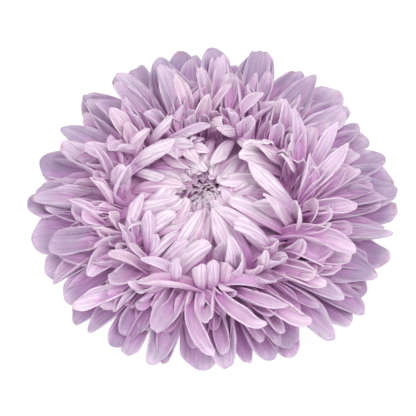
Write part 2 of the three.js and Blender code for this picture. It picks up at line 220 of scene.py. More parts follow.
# All that shapes one floret of the spiral
def floret(i):
    place = i / (head['florets'] - 1)
    base = math.radians(i * head['turn'])
    front = -math.sin(base)
    share = inwardShare(i, place, front)
    habit = rimHabit

    def mean(name):
        return valueAt(outward, name, place) * (1 - share) + valueAt(inward, name, place) * share

    def toward(heading):
        return math.cos(base - math.radians(heading))

    def change(name, at=place):
        start, over = habit[name]
        return smoothStep((at - start) / over)

    def astray(name, k):
        return stray[name] * unrest * spread(i, k)

    off = Vector(head['rimMiddle']) - Vector(head['axis'])
    reach = (off.x * math.cos(base) + off.y * math.sin(base)) * (1 - change('roundOver'))
    longer = habit['longer'] * toward(habit['longerHeading']) * change('longerOver')
    unrest = mean('unrest') * (1 + habit['wilder'] * toward(habit['wilderHeading']) * change('wilderOver'))
    combed = habit['combed'] * max(0, toward(habit['combedHeading'])) ** 2 * change('combedOver')
    combed *= 1 - share
    droop = habit['droop'] * front * (1 - share) * change('droopOver')
    droop += habit['outerDroop'] * max(0, front) * (1 - change('outerDroopOver'))
    aside = min(1, max(-1, habit['partSharpness'] * math.cos(base)))
    parting = aside * change('partFront', front) * change('partOver') * (1 - share)
    boat = max(0, front) * (1 - share) * change('boatOver')
    wide = max(habit['widerLeast'], front, -math.cos(base)) * (1 - change('widerOver'))
    turned, longerBy = nudges.get(i, (0, 0))
    strayLength = (own['length'] + stray['length'] * unrest) * spread(i, 6)
    hook = own['hook'] + habit['partHook'] * abs(parting) + own['hookSides'] * spread(i, 16)
    hook += habit['boatHook'] * boat
    return {
        'place': place * (1 - share) + (arch['colourFrom'] + (1 - arch['colourFrom']) * place) * share,
        'tone': draw(i, 14),
        'heading': base + math.radians(turned + astray('heading', 1)),
        'lean': math.radians(combed + habit['partLean'] * parting + astray('lean', 15)),
        'rootRadius': mean('rootRadius'),
        'rootHeight': head['lift'] + mean('rootHeight') + own['rootHeight'] * spread(i, 2),
        'startAngle': math.radians(mean('startAngle') + astray('startAngle', 3)),
        'endAngle': math.radians(mean('endAngle') + astray('endAngle', 4) - droop),
        'bend': mean('bend') * (own['bend'] + own['bendRoom'] * draw(i, 5)),
        'length': longerBy + reach + mean('length') * (1 + strayLength + longer),
        'width': mean('width') * (1 + own['width'] * spread(i, 7)) * (1 + habit['wider'] * wide),
        'cup': mean('cup') * (own['cup'] + own['cupRoom'] * draw(i, 8) ** own['cupPower'])
               * (1 + habit['boatCup'] * boat),
        'swerve': math.radians(habit['partSwerve'] * parting + astray('swerve', 9)),
        'twist': math.radians(astray('twist', 10)),
        'tip': own['tip'] + own['tipRoom'] * draw(i, 11) + habit['widerTip'] * wide,
        'hook': math.radians(hook),
        'wave': stray['wave'] * unrest * draw(i, 12),
        'wavePhase': bladeForm['waveTurn'] * draw(i, 13),
        'skew': own['skew'] * spread(i, 18),
        'floor': head['floor'],
    }


# Florets that catch the eye in the photograph, set one by one in the stead of the nearest ones of the spiral:
# where each stands round the middle of the bloom, how it rises and bends over, how it turns aside and rolls,
# and its shape. From a certain end angle on it counts as arching and has the colour of a place further in
standouts = {
    'first': 100,
    'last': 450,
    'room': 2.0,
    'archesFrom': 60,
    'archingPlace': 0.5,
    'spreadingPlace': 0.3,
    'angles': ('heading', 'startAngle', 'endAngle', 'lean', 'swerve', 'twist', 'hook'),
    'columns': ('heading', 'rootRadius', 'startAngle', 'endAngle', 'bend', 'lean', 'swerve', 'twist',
                'length', 'width', 'cup', 'tip', 'hook'),
    'rows': [
        (-78, 22, 90, 130, 1.0, 0, 0, 0, 15, 6.4, 1.0, 0.8, 0),
        (-87, 25.5, 75, 120, 1.0, 0, 0, 0, 16, 4.6, 1.1, 0.7, 0),
        (-94, 25.5, 75, 115, 1.0, 5, 0, 0, 15, 5.4, 1.1, 0.7, 0),
        (-80, 25, 80, 115, 1.0, -45, 0, 0, 14, 6.6, 1.0, 0.8, 0),
        (-125, 23, 95, 160, 0.8, -35, 0, 20, 15, 4.8, 1.1, 0.5, 0),
        (-105, 24, 85, 5, 0.6, -87, 0, 20, 17, 4.4, 1.2, 0.4, 0),
        (-128, 25.5, 70, 15, 0.7, -59, 0, 10, 15, 4.4, 1.4, 0.6, 0),
        (-130, 24, 80, 50, 0.8, -68, 0, 0, 14, 3.0, 1.5, 0.4, 10),
        (-92, 25.5, 80, -10, 0.45, -74, -24, 35, 22, 6.6, 1.8, 0.4, 24),
        (-95, 25.5, 75, -30, 0.5, 44, 0, 0, 13, 4.4, 1.0, 0.3, 0),
        (-84, 25.5, 85, -55, 0.8, 80, 0, 0, 17, 4.4, 1.2, 0.6, 0),
        (-76, 25.5, 70, 0, 0.45, 10, 72, 10, 22, 6.2, 2.0, 0.4, 30),
        (-84, 25.5, 60, -8, 0.45, -8, 96, 20, 23, 7.6, 2.0, 0.4, 45),
        (-25, 24, 85, -40, 0.6, -120, 0, 20, 17, 5.6, 1.2, 0.5, 0),
        (-33, 24, 85, -50, 0.8, 10, 0, 0, 17, 7.0, 0.8, 0.9, -40),
        (-45, 24, 75, 95, 1.0, 0, 0, 0, 13, 8.4, 2.4, 0.7, 0),
        (-50, 25.5, 80, -8, 0.4, 14, 24, 25, 20, 8.4, 2.2, 0.5, 35),
        (-62, 25.5, 50, -8, 0.4, -16, 78, 20, 24, 8.2, 1.9, 0.5, 35),
        (-125, 25.5, 30, -10, 0.4, -22, -24, -25, 24, 8.8, 2.1, 0.6, 30),
        (-97, 25.5, 45, -8, 0.4, -12, 72, 15, 23.5, 7.6, 2.0, 0.5, 35),
        (35, 25.5, 65, 35, 1.0, 53, 0, 30, 21, 5.0, 1.2, 0.3, 0),
        (15, 25.5, 65, 35, 1.0, 74, 10, 30, 25, 5.2, 1.2, 0.3, 0),
        (-2, 25.5, 80, 45, 1.0, 78, 0, 75, 21, 6.6, 1.1, 0.4, 0),
        (10, 25.5, 50, 30, 1.0, 45, 0, 20, 24, 5.0, 1.4, 0.3, 0),
        (-2, 23, 60, 20, 0.8, 35, 10, 45, 26, 6.0, 1.4, 0.3, 0),
        (-10, 23, 85, -5, 0.4, 0, 20, 15, 22, 8.6, 2.1, 0.5, 25),
        (-28, 22, 85, -8, 0.35, 18, -22, 25, 26, 9.8, 2.2, 0.6, 30),
        (125, 22, 90, 0, 0.7, -112, 0, 0, 21, 4.4, 1.0, 0.3, 0),
        (140, 25.5, 70, 40, 1.0, -26, 0, 0, 13, 6.0, 1.4, 0.5, 0),
        (180, 25.5, 75, 45, 1.0, -26, 0, 60, 15, 5.6, 2.2, 0.4, 0),
        (195, 25.5, 95, 60, 1.0, -20, 0, 0, 11, 4.6, 1.0, 0.8, 0),
        (217, 25.5, 90, 55, 1.0, -80, 0, 40, 17, 4.0, 1.5, 0.4, 0),
        (212, 23, 90, 65, 1.0, -85, 0, 30, 14, 3.8, 1.5, 0.5, 0),
        (224, 22, 100, 150, 1.0, 46, 0, 0, 15, 4.4, 1.0, 0.6, 0),
        (230, 23, 95, 150, 1.0, 27, 0, 0, 12, 3.8, 1.1, 0.6, 0),
        (175, 25.5, 95, 150, 1.0, 73, 0, 0, 14, 7.0, 1.0, 0.8, 0),
        (160, 25.5, 75, -20, 0.9, -131, 0, 20, 16, 4.4, 1.2, 0.4, 0),
        (165, 25.5, 65, 45, 1.0, -30, 0, 30, 18, 4.2, 1.8, 0.3, 0),
        (195, 25, 45, 25, 1.0, -33, 0, 40, 18, 4.4, 1.8, 0.3, 0),
        (95, 25.5, 65, 35, 1.0, -56, 0, -20, 19, 3.8, 1.4, 0.4, 0),
        (80, 25.5, 60, 25, 1.0, -52, 0, 0, 18, 4.6, 1.2, 0.4, 0),
        (98, 25.5, 60, 40, 1.0, 20, 0, 0, 19, 5.4, 1.5, 0.4, 0),
        (62, 24, 90, 75, 1.0, -30, 0, 0, 15, 8.8, 2.4, 0.7, 20),
        (135, 25.5, 50, 40, 1.0, 2, 0, 0, 18, 6.6, 1.4, 0.6, 0),
    ],
}


def rootPoint(blade):
    radius, heading = blade['rootRadius'], blade['heading']
    x, y = head['axis']
    return Vector((x + radius * math.cos(heading), y + radius * math.sin(heading)))


# The florets by number. Each one listed in the table takes the place of the nearest and keeps some room round
# it
def placedFlorets():
    florets = {}
    for i in range(head['florets']):
        thinned = head['thinFrom'] <= i < head['thinTo'] and i % head['thinEvery'] == head['thinAt']
        if not thinned:
            florets[i] = floret(i)
    taken = []
    for row in standouts['rows']:
        given = dict(zip(standouts['columns'], row))
        arches = given['endAngle'] >= standouts['archesFrom']
        given['place'] = standouts['archingPlace' if arches else 'spreadingPlace']
        given.update({name: math.radians(given[name]) for name in standouts['angles']})
        free = [i for i in range(standouts['first'], standouts['last']) if i in florets and i not in taken]
        distance = {i: (rootPoint(florets[i]) - rootPoint(given)).length for i in free}
        nearest = min(free, key=distance.get)
        florets[nearest].update(given)
        taken.append(nearest)
        for i in free:
            if i != nearest and distance[i] < standouts['room']:
                del florets[i]
    return florets


# The line of a blade: points with the directions along it, to its side and up out of its face
def midrib(blade, steps):
    heading = blade['heading']
    point = Vector((*rootPoint(blade), blade['rootHeight']))
    rib = []
    for k in range(steps + 1):
        b = k / steps
        rise = blade['startAngle'] + (blade['endAngle'] - blade['startAngle']) * b ** blade['bend']
        rise += blade['hook'] * max(0, (b - bladeForm['tipFrom']) / bladeForm['tipOver']) ** 2
        yaw = heading + blade['lean'] + blade['swerve'] * b
        along = Vector((math.cos(rise) * math.cos(yaw), math.cos(rise) * math.sin(yaw), math.sin(rise)))
        level = Vector((-math.sin(yaw), math.cos(yaw), 0))
        face = along.cross(level)
        roll = blade['twist'] * b
        side = level * math.cos(roll) + face * math.sin(roll)
        up = face * math.cos(roll) - level * math.sin(roll)
        rib.append((point.copy(), along, side, up))
        point += along * (blade['length'] / steps)
        point.z = max(point.z, blade['floor'])
    return rib


def halfWidth(blade, b):
    widest, foot = bladeForm['widestAt'], bladeForm['footShare']
    if b < widest:
        return 0.5 * blade['width'] * (foot + (1 - foot) * smoothStep(b / widest))
    t = (b - widest) / (1 - widest)
    return 0.5 * blade['width'] * (1 - (1 - blade['tip']) * t ** bladeForm['tipPower'])


# A point of the blade's face: a runs from -1 to 1 across it, b from 0 to 1 along it
def bladePoint(blade, rib, a, b):
    form = bladeForm
    steps = len(rib) - 1
    k = min(steps - 1, int(b * steps))
    f = b * steps - k
    point, along, side, up = (rib[k][j].lerp(rib[k + 1][j], f) for j in range(4))
    phase = blade['wavePhase'] + (0 if a > 0 else form['edgesApart'])
    uneven = form['unevenEdge'] * abs(a) * math.sin(form['unevenWaves'] * b + 2 * phase)
    w = halfWidth(blade, b) * (1 + uneven)
    least, most = form['cupRange']
    swell = form['cupAtEnds'] + form['cupSwell'] * math.sin(math.pi * b)
    curl = min(most, max(least, blade['cup'] * swell))
    out = w * math.sin(curl * a) / curl
    rise = w * (1 - math.cos(curl * a)) / curl
    ridge = form['ridge'] * math.cos(a * math.pi * form['ridgeWaves'])
    rise += (ridge + form['rimRoll'] * a ** form['rimRollPower']) * min(1, (w / form['reliefWidth']) ** 2)
    rise += blade['wave'] * a * a * math.sin(form['edgeWaves'] * b + phase)
    tip = smoothStep((b - form['tipFrom']) / form['tipOver'])
    back = form['tipBack'] * blade['width'] * (a - blade['skew'] * (1 - a * a)) ** 2 * tip
    return point + side * out + up * rise - along * back


# Adds one blade to a bmesh as a bent grid with its own map and marks
def addBlade(bm, blade, columns, rows):
    tone = bm.verts.layers.float['bladeTone']
    place = bm.verts.layers.float['bladePlace']
    rib = midrib(blade, bladeForm['ribSteps'])
    made = bmesh.ops.create_grid(bm, x_segments=columns, y_segments=rows, size=0.5, calc_uvs=True)
    for v in made['verts']:
        v.co = bladePoint(blade, rib, v.co.x * 2, v.co.y + 0.5) * mm
        v[tone] = blade['tone']
        v[place] = blade['place']


def newBladeMesh():
    bm = bmesh.new()
    bm.loops.layers.uv.new('bladeMap')
    for name in ('bladeTone', 'bladePlace', 'bladeOcclusion'):
        bm.verts.layers.float.new(name)
    return bm


# Turns a bmesh into a smooth piece that rides on the body and stands for its node
def finishPiece(bm, name, node, materials):
    mesh = bpy.data.meshes.new(name)
    bm.to_mesh(mesh)
    bm.free()
    for polygon in mesh.polygons:
        polygon.use_smooth = True
    piece = bpy.data.objects.new(name, mesh)
    bpy.context.scene.collection.objects.link(piece)
    for material in materials:
        mesh.materials.append(material)
    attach(piece, body)
    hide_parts(node)
    return piece


# Gives blades their thickness, with the face, back and edge in the piece's first, second and third material
def thicken(piece, thickness):
    solidify = piece.modifiers.new('thickness', 'SOLIDIFY')
    solidify.thickness = thickness * mm
    solidify.offset = 0
    solidify.material_offset = 1
    solidify.material_offset_rim = 2
    subsurf = piece.modifiers.new('rounding', 'SUBSURF')
    subsurf.levels = subsurf.render_levels = 1


# Shader nodes: small helpers that add, set and link
def addNode(tree, kind, values=None, **settings):
    node = tree.nodes.new(kind)
    for key, value in settings.items():
        setattr(node, key, value)
    for key, value in (values or {}).items():
        if isinstance(value, bpy.types.NodeSocket):
            tree.links.new(value, node.inputs[key])
        else:
            node.inputs[key].default_value = value
    return node


def mathNode(tree, operation, a, b=0.0):
    return addNode(tree, 'ShaderNodeMath', {0: a, 1: b}, operation=operation).outputs[0]


def mapRange(tree, value, fromMin, fromMax, toMin=0.0, toMax=1.0):
    values = {'Value': value, 'From Min': fromMin, 'From Max': fromMax, 'To Min': toMin, 'To Max': toMax}
    return addNode(tree, 'ShaderNodeMapRange', values, interpolation_type='SMOOTHSTEP').outputs[0]


def mixColour(tree, factor, a, b, blend='MIX'):
    node = addNode(tree, 'ShaderNodeMix', {'Factor': factor}, data_type='RGBA', blend_type=blend)
    for key, value in (('A', a), ('B', b)):
        socket = [s for s in node.inputs if s.name == key and s.type == 'RGBA'][0]
        if isinstance(value, bpy.types.NodeSocket):
            tree.links.new(value, socket)
        else:
            socket.default_value = (*value, 1)
    return [s for s in node.outputs if s.type == 'RGBA'][0]


def ramp(tree, value, stops):
    node = addNode(tree, 'ShaderNodeValToRGB', {'Fac': value})
    elements = node.color_ramp.elements
    for j, (position, colour) in enumerate(stops):
        element = elements[j] if j < 2 else elements.new(position)
        element.position = position
        element.color = (*colour, 1)
    return node.outputs['Color']


def newGroup(name, inputs, outputs):
    tree = bpy.data.node_groups.new(name, 'ShaderNodeTree')
    for label, kind, default in inputs:
        socket = tree.interface.new_socket(label, in_out='INPUT', socket_type=kind)
        if default is not None:
            socket.default_value = default
    for label, kind in outputs:
        tree.interface.new_socket(label, in_out='OUTPUT', socket_type=kind)
    return tree, tree.nodes.new('NodeGroupInput').outputs, tree.nodes.new('NodeGroupOutput').inputs


# Fine veins that run the length of a blade, a little unsteady and unlike from blade to blade
def makeVeins():
    tree, given, out = newGroup('lengthwise veins', [
        ('Map', 'NodeSocketVector', None),
        ('Blade', 'NodeSocketFloat', 0.5),
        ('Count', 'NodeSocketFloat', 6.0),
        ('Waver', 'NodeSocketFloat', 0.6),
    ], [('Mask', 'NodeSocketFloat')])
    apart = addNode(tree, 'ShaderNodeSeparateXYZ', {0: given['Map']}).outputs
    shift = mathNode(tree, 'MULTIPLY', given['Blade'], 37.0)
    stretched = addNode(tree, 'ShaderNodeCombineXYZ', {
        'X': mathNode(tree, 'MULTIPLY', apart['X'], 3.0),
        'Y': apart['Y'],
        'Z': shift,
    }).outputs[0]
    noise = addNode(tree, 'ShaderNodeTexNoise', {'Vector': stretched, 'Scale': 2.4, 'Detail': 2.0}).outputs[0]
    turns = mathNode(tree, 'MULTIPLY', apart['X'], given['Count'])
    turns = mathNode(tree, 'ADD', turns, mathNode(tree, 'MULTIPLY', noise, given['Waver']))
    wave = mathNode(tree, 'SINE', mathNode(tree, 'MULTIPLY', turns, 2 * math.pi))
    tree.links.new(mapRange(tree, wave, 0.3, 1.0), out['Mask'])
    return tree


# Soft cloudy variation through the tissue
def makeMottle():
    tree, given, out = newGroup('tissue mottle', [
        ('Point', 'NodeSocketVector', None),
        ('Scale', 'NodeSocketFloat', 400.0),
        ('Low', 'NodeSocketFloat', 0.35),
        ('High', 'NodeSocketFloat', 0.65),
    ], [('Mask', 'NodeSocketFloat')])
    noise = addNode(tree, 'ShaderNodeTexNoise', {
        'Vector': given['Point'],
        'Scale': given['Scale'],
        'Detail': 3.0,
        'Roughness': 0.6,
    }).outputs[0]
    tree.links.new(mapRange(tree, noise, given['Low'], given['High']), out['Mask'])
    return tree


# Tiny brown specks where pollen or age has marked the tissue
def makeSpecks():
    tree, given, out = newGroup('age specks', [
        ('Point', 'NodeSocketVector', None),
        ('Scale', 'NodeSocketFloat', 300.0),
        ('Size', 'NodeSocketFloat', 0.12),
    ], [('Mask', 'NodeSocketFloat')])
    cells = addNode(tree, 'ShaderNodeTexVoronoi', {'Vector': given['Point'], 'Scale': given['Scale']})
    near = addNode(tree, 'ShaderNodeMapRange', {
        'Value': cells.outputs['Distance'],
        'From Min': mathNode(tree, 'MULTIPLY', given['Size'], 0.4),
        'From Max': given['Size'],
        'To Min': 1.0,
        'To Max': 0.0,
    }).outputs[0]
    pick = addNode(tree, 'ShaderNodeSeparateXYZ', {0: cells.outputs['Color']}).outputs['X']
    chosen = mathNode(tree, 'GREATER_THAN', pick, 0.9)
    tree.links.new(mathNode(tree, 'MULTIPLY', near, chosen), out['Mask'])
    return tree


veins = makeVeins()
mottle = makeMottle()
specks = makeSpecks()


def useGroup(tree, group, values):
    return addNode(tree, 'ShaderNodeGroup', values, node_tree=group).outputs


def newMaterial(name):
    material = bpy.data.materials.new(name)
    material.use_nodes = True
    tree = material.node_tree
    return material, tree, tree.nodes['Principled BSDF'].inputs


# Looks of petals: colours, shares of the marks, scales and depths
petal = {
    'outer': (0.285, 0.24, 0.37),
    'spreading': (0.65, 0.50, 0.65),
    'crest': (0.82, 0.67, 0.82),
    'inner': (0.85, 0.77, 0.84),
    'centre': (0.85, 0.75, 0.83),
    'foot': (0.57, 0.21, 0.54),
    'pale': (0.87, 0.82, 0.88),
    'deep': (0.50, 0.24, 0.50),
    'speck': (0.32, 0.17, 0.10),
    # painted shade: the darker purple that petals are given where other petals block the light
    'paintedShade': (0.82, 0.36, 0.77),
    'worn': (0.58, 0.42, 0.44),
    'rim': (0.92, 0.78, 0.91),
    'warm': (0.90, 0.74, 0.76),
    'brown': (0.45, 0.27, 0.24),
    'warmShare': 0.45,
    'tipShare': 0.25,
    'fineShare': 0.22,
    'rimShare': 0.42,
    'brownShare': 0.5,
    'wornShare': 0.3,
    'paintedShadeShare': 0.56,
    'cloudShare': 0.16,
    'speckShare': 0.6,
    'otherTone': 13.7,  # makes a second, unlike number of each blade's tone
    'veins': 4,
    'waver': 2.2,
    'fineVeins': 2.3,  # for each broad vein
    'fineWaver': 1.6,
    'patchScale': 130.0,
    'spotScale': 420.0,
    'cloudScale': 260.0,
    'speckSize': 0.1,
    'grainScale': 2600.0,
    'veinHeight': -1.0,
    'fineHeight': -0.4,
    'grainHeight': 0.35,
    'bump': 0.65,
    'bumpDepth': 0.0003,
    'roughness': (0.5, 0.64),
    'glow': 0.8,
    'glowReach': (1.0, 0.9, 1.0),
    'glowScale': 0.0003,
    'specular': 0.28,
}
# Petal colours by place in the spiral
petalRamp = ((0.0, 'outer'), (1.0, 'centre'), (0.2, 'spreading'), (0.42, 'crest'), (0.7, 'inner'))
# From where to where each mark fades in, and where four numbers stand, also between which shares. Inward
# means by place in the spiral, edge means across the blade, and tip or foot along it
petalRuns = {
    'paleTone': (0.35, 1.0),
    'paleInward': (0.0, 0.35, 0.7, 1.0),
    'warmTone': (0.5, 1.0),
    'warmInward': (0.08, 0.3),
    'tip': (0.35, 1.0),
    'tipInward': (0.0, 0.3, 0.2, 1.0),
    'foot': (0.6, 0.05),
    'rimEdge': (0.28, 0.48),
    'rimTip': (0.86, 1.0),
    'rimInward': (0.0, 0.3, 1.0, 0.85),
    'rimPatch': (0.35, 0.6, 0.25, 1.1),
    'brownEdge': (0.43, 0.49),
    'brownTip': (0.95, 1.0),
    'brownSpot': (0.58, 0.68),
    'wornTip': (0.93, 1.0),
    'wornPatch': (0.54, 0.66),
    'wornInward': (0.0, 0.3, 0.3, 1.0),
    'occlusionShade': (0.3, 1.0),
}
# How deep the foot's purple, the paleness and the vein marks are, for each side of a petal
petalSides = {
    'petal face': {'foot': 0.85, 'pale': 0.3, 'vein': 0.36},
    'petal back': {'foot': 0.6, 'pale': 0.6, 'vein': 0.22},
    'petal edge': {'foot': 0.6, 'pale': 0.25, 'vein': 0.1},
}


def makePetal(name, side):
    material, tree, shader = newMaterial(name)
    point = addNode(tree, 'ShaderNodeTexCoord').outputs['Object']
    uv = addNode(tree, 'ShaderNodeUVMap', uv_map='bladeMap').outputs[0]
    # the third attribute is how much light other blades block at each point, for the painted shade
    place, tone, occluded = (addNode(tree, 'ShaderNodeAttribute', attribute_name=mark).outputs['Fac']
                           for mark in ('bladePlace', 'bladeTone', 'bladeOcclusion'))
    apart = addNode(tree, 'ShaderNodeSeparateXYZ', {0: uv}).outputs
    along = apart['Y']
    across = mathNode(tree, 'ABSOLUTE', mathNode(tree, 'SUBTRACT', apart['X'], 0.5))
    other = mathNode(tree, 'FRACT', mathNode(tree, 'MULTIPLY', tone, petal['otherTone']))

    def run(name, value):
        return mapRange(tree, value, *petalRuns[name])

    def noise(scale, detail):
        values = {'Vector': point, 'Scale': scale, 'Detail': detail}
        return addNode(tree, 'ShaderNodeTexNoise', values).outputs[0]

    def lines(count, waver):
        return useGroup(tree, veins, {'Map': uv, 'Blade': tone, 'Count': count, 'Waver': waver})['Mask']

    vein = lines(petal['veins'], petal['waver'])
    fine = lines(petal['veins'] * petal['fineVeins'], petal['fineWaver'])
    patch = noise(petal['patchScale'], 1.0)
    spots = noise(petal['spotScale'], 2.0)
    rims = mathNode(tree, 'MAXIMUM', run('rimEdge', across), run('rimTip', along))
    browned = mathNode(tree, 'MAXIMUM', run('brownEdge', across), run('brownTip', along))
    cells = {'Point': point, 'Scale': petal['cloudScale']}
    cloud = useGroup(tree, mottle, cells)['Mask']
    dots = useGroup(tree, specks, {**cells, 'Size': petal['speckSize']})['Mask']
    marks = (
        ('pale', run('paleTone', tone), side['pale'], run('paleInward', place)),
        ('warm', run('warmTone', other), petal['warmShare'], run('warmInward', place)),
        ('pale', run('tip', along), petal['tipShare'], run('tipInward', place)),
        ('foot', run('foot', along), side['foot']),
        ('deep', vein, side['vein']),
        ('deep', fine, petal['fineShare']),
        ('rim', rims, petal['rimShare'], run('rimInward', place), run('rimPatch', patch)),
        ('brown', browned, run('brownSpot', spots), petal['brownShare']),
        ('worn', run('wornTip', along), run('wornPatch', patch), run('wornInward', place),
         petal['wornShare']),
        # painted shade: where other petals block the light, the colour goes towards a darker purple
        ('paintedShade', run('occlusionShade', occluded), petal['paintedShadeShare']),
        ('deep', cloud, petal['cloudShare']),
        ('speck', dots, petal['speckShare']),
    )
    colour = ramp(tree, place, [(at, petal[tint]) for at, tint in petalRamp])
    for tint, mask, *shares in marks:
        for share in shares:
            mask = mathNode(tree, 'MULTIPLY', mask, share)
        colour = mixColour(tree, mask, colour, petal[tint])
    tree.links.new(colour, shader['Base Color'])
    grain = noise(petal['grainScale'], 2.0)
    height = mathNode(tree, 'MULTIPLY', vein, petal['veinHeight'])
    height = mathNode(tree, 'ADD', height, mathNode(tree, 'MULTIPLY', fine, petal['fineHeight']))
    height = mathNode(tree, 'ADD', height, mathNode(tree, 'MULTIPLY', grain, petal['grainHeight']))
    values = {'Height': height, 'Strength': petal['bump'], 'Distance': petal['bumpDepth']}
    tree.links.new(addNode(tree, 'ShaderNodeBump', values).outputs[0], shader['Normal'])
    tree.links.new(mapRange(tree, cloud, 0, 1, *petal['roughness']), shader['Roughness'])
    shader['Subsurface Weight'].default_value = petal['glow']
    shader['Subsurface Radius'].default_value = petal['glowReach']
    shader['Subsurface Scale'].default_value = petal['glowScale']
    shader['Specular IOR Level'].default_value = petal['specular']
    return material


# The face, back and edge of petals, in the order that thicken needs
petalSkins = [makePetal(name, side) for name, side in petalSides.items()]
print('petal materials made')

# Pieces of the bloom by the first and last floret of each, with the mesh of one blade
whorls = {
    'outer_florets': {'first': 0, 'last': 150, 'columns': 8, 'rows': 8},
    'spreading_florets': {'first': 150, 'last': 300, 'columns': 8, 'rows': 8},
    'crest_florets': {'first': 300, 'last': 430, 'columns': 8, 'rows': 8},
    'arching_florets': {'first': 430, 'last': 580, 'columns': 8, 'rows': 8},
    'centre_florets': {'first': 580, 'last': 700, 'columns': 6, 'rows': 6},
}


# Painted shade: where other petals block the light, deep in the bloom, petals are painted a darker, more
# saturated purple. Looks are the directions that light can come from, and reach is how near another petal
# has to be to block it
occlusionShade = {
    'rings': ((0, 1), (42, 6), (68, 8)),  # degrees from upright and looks on that ring
    'reach': 16,
    'start': 0.5,
}


def lookDirections():
    looks = []
    for tilt, count in occlusionShade['rings']:
        for k in range(count):
            turn, away = 2 * math.pi * k / count, math.radians(tilt)
            level = math.sin(away)
            looks.append(Vector((level * math.cos(turn), level * math.sin(turn), math.cos(away))))
    return looks


# Marks each point of the blades with the share of its looks that other blades stop, for the painted shade
def markOcclusionShade(meshes):
    points, faces = [], []
    for bm in meshes:
        first = len(points)
        bm.verts.index_update()
        points += [v.co.copy() for v in bm.verts]
        faces += [[first + v.index for v in face.verts] for face in bm.faces]
    tree = BVHTree.FromPolygons(points, faces)
    looks = lookDirections()
    for bm in meshes:
        mark = bm.verts.layers.float['bladeOcclusion']
        for v in bm.verts:
            stopped = 0
            for look in looks:
                hit = tree.ray_cast(v.co + look * occlusionShade['start'] * mm, look, occlusionShade['reach'] * mm)
                stopped += hit[0] is not None
            v[mark] = stopped / len(looks)


def growFlorets():
    florets = placedFlorets()
    grown = {}
    for name, whorl in whorls.items():
        grown[name] = newBladeMesh()
        for i in range(whorl['first'], whorl['last']):
            if i in florets:
                addBlade(grown[name], florets[i], whorl['columns'], whorl['rows'])
    # painted shade: stores how much light other blades block at each point, for the petal colour
    markOcclusionShade(grown.values())
    for name, bm in grown.items():
        piece = finishPiece(bm, name, 'ray_florets', petalSkins)
        thicken(piece, head['bladeThickness'])
        print(name, 'grown')


growFlorets()

# The fleshy cushion that the florets grow from, as radius and height from its bottom to its top
cushion = {
    'profile': [
        (0, 4.6), (8.5, 4.6), (12, 5.4), (16, 6.2), (20.5, 7.0), (24, 8.0), (26, 9.2), (26.8, 11.2),
        (25.5, 12.6), (22, 13.9), (18, 14.3), (13, 14.8), (8, 16), (0, 17),
    ],
    'steps': 48,
    'colour': (0.66, 0.42, 0.62),
    'shade': (0.60, 0.32, 0.56),
}


def makeFlesh():
    material, tree, shader = newMaterial('cushion flesh')
    point = addNode(tree, 'ShaderNodeTexCoord').outputs['Object']
    cloud = useGroup(tree, mottle, {'Point': point, 'Scale': 500.0})['Mask']
    tree.links.new(mixColour(tree, cloud, cushion['colour'], cushion['shade']), shader['Base Color'])
    bump = addNode(tree, 'ShaderNodeBump', {'Height': cloud, 'Strength': 0.4, 'Distance': 0.0003})
    tree.links.new(bump.outputs[0], shader['Normal'])
    shader['Roughness'].default_value = 0.7
    return material


def atAxis():
    return Vector((*head['axis'], 0)) * mm


# Spins a profile of radius and height into a closed round shape
def spinProfile(profile, steps, lift):
    bm = bmesh.new()
    verts = [bm.verts.new((radius * mm, 0, (height + lift) * mm)) for radius, height in profile]
    edges = [bm.edges.new((verts[j], verts[j + 1])) for j in range(len(verts) - 1)]
    bmesh.ops.spin(bm, geom=verts + edges, cent=(0, 0, 0), axis=(0, 0, 1), angle=2 * math.pi,
                   steps=steps, use_merge=True)
    bmesh.ops.translate(bm, verts=bm.verts, vec=atAxis())
    bmesh.ops.remove_doubles(bm, verts=bm.verts, dist=1e-6)
    bmesh.ops.recalc_face_normals(bm, faces=bm.faces)
    return bm


def makeCushion():
    bm = spinProfile(cushion['profile'], cushion['steps'], head['lift'])
    finishPiece(bm, 'cushion', 'ray_florets', [makeFlesh()])
    print('cushion made')


makeCushion()

# The green cup, its leafy bracts in two rows, and the fine hairs along their edges
calyx = {
    'cup': [(0, 4.2), (3.3, 3.8), (5.2, 4.1), (8.4, 5.1), (10.2, 6.1), (8.4, 6.3), (0, 6.3)],
    'rows': [
        {'count': 13, 'rootRadius': 7.4, 'rootHeight': 5.5, 'startAngle': -4, 'endAngle': -34,
         'length': 21, 'width': 5.2},
        {'count': 13, 'rootRadius': 5.8, 'rootHeight': 4.8, 'startAngle': -10, 'endAngle': -20,
         'length': 16, 'width': 4.6},
    ],
    'thickness': 0.5,
    'floor': 0.25,
    'hairs': 16,
    'hairLength': 0.9,
    'hairRadius': 0.05,
    'hairTip': 0.1,
    'hairFrom': 0.3,
    'hairOver': 0.66,
    'hairRoot': 0.97,
    'hairBehind': 0.7,
    'hairSweep': 0.03,
    'hairRise': 0.3,
    'green': (0.13, 0.21, 0.045),
    'light': (0.24, 0.33, 0.09),
    'vein': (0.36, 0.43, 0.18),
    'edge': (0.33, 0.40, 0.20),
}


def bract(row, rowNumber, j):
    i = 1000 + 100 * rowNumber + j
    return {
        'place': 0.5 * rowNumber,
        'tone': draw(i, 14),
        'heading': math.radians(360 * (j + 0.5 * rowNumber) / row['count'] + 5 * spread(i, 1)),
        'lean': math.radians(6 * spread(i, 2)),
        'rootRadius': row['rootRadius'],
        'rootHeight': row['rootHeight'],
        'startAngle': math.radians(row['startAngle']),
        'endAngle': math.radians(row['endAngle'] + 3 * spread(i, 4)),
        'bend': 1,
        'length': row['length'] * (1 + 0.05 * spread(i, 6)),
        'width': row['width'] * (1 + 0.12 * spread(i, 7)),
        'cup': 0.35,
        'swerve': math.radians(8 * spread(i, 9)),
        'twist': math.radians(10 * spread(i, 10)),
        'tip': 0.45,
        'hook': 0,
        'wave': 0.25,
        'wavePhase': 6.28 * draw(i, 13),
        'skew': 0,
        'floor': calyx['floor'],
    }


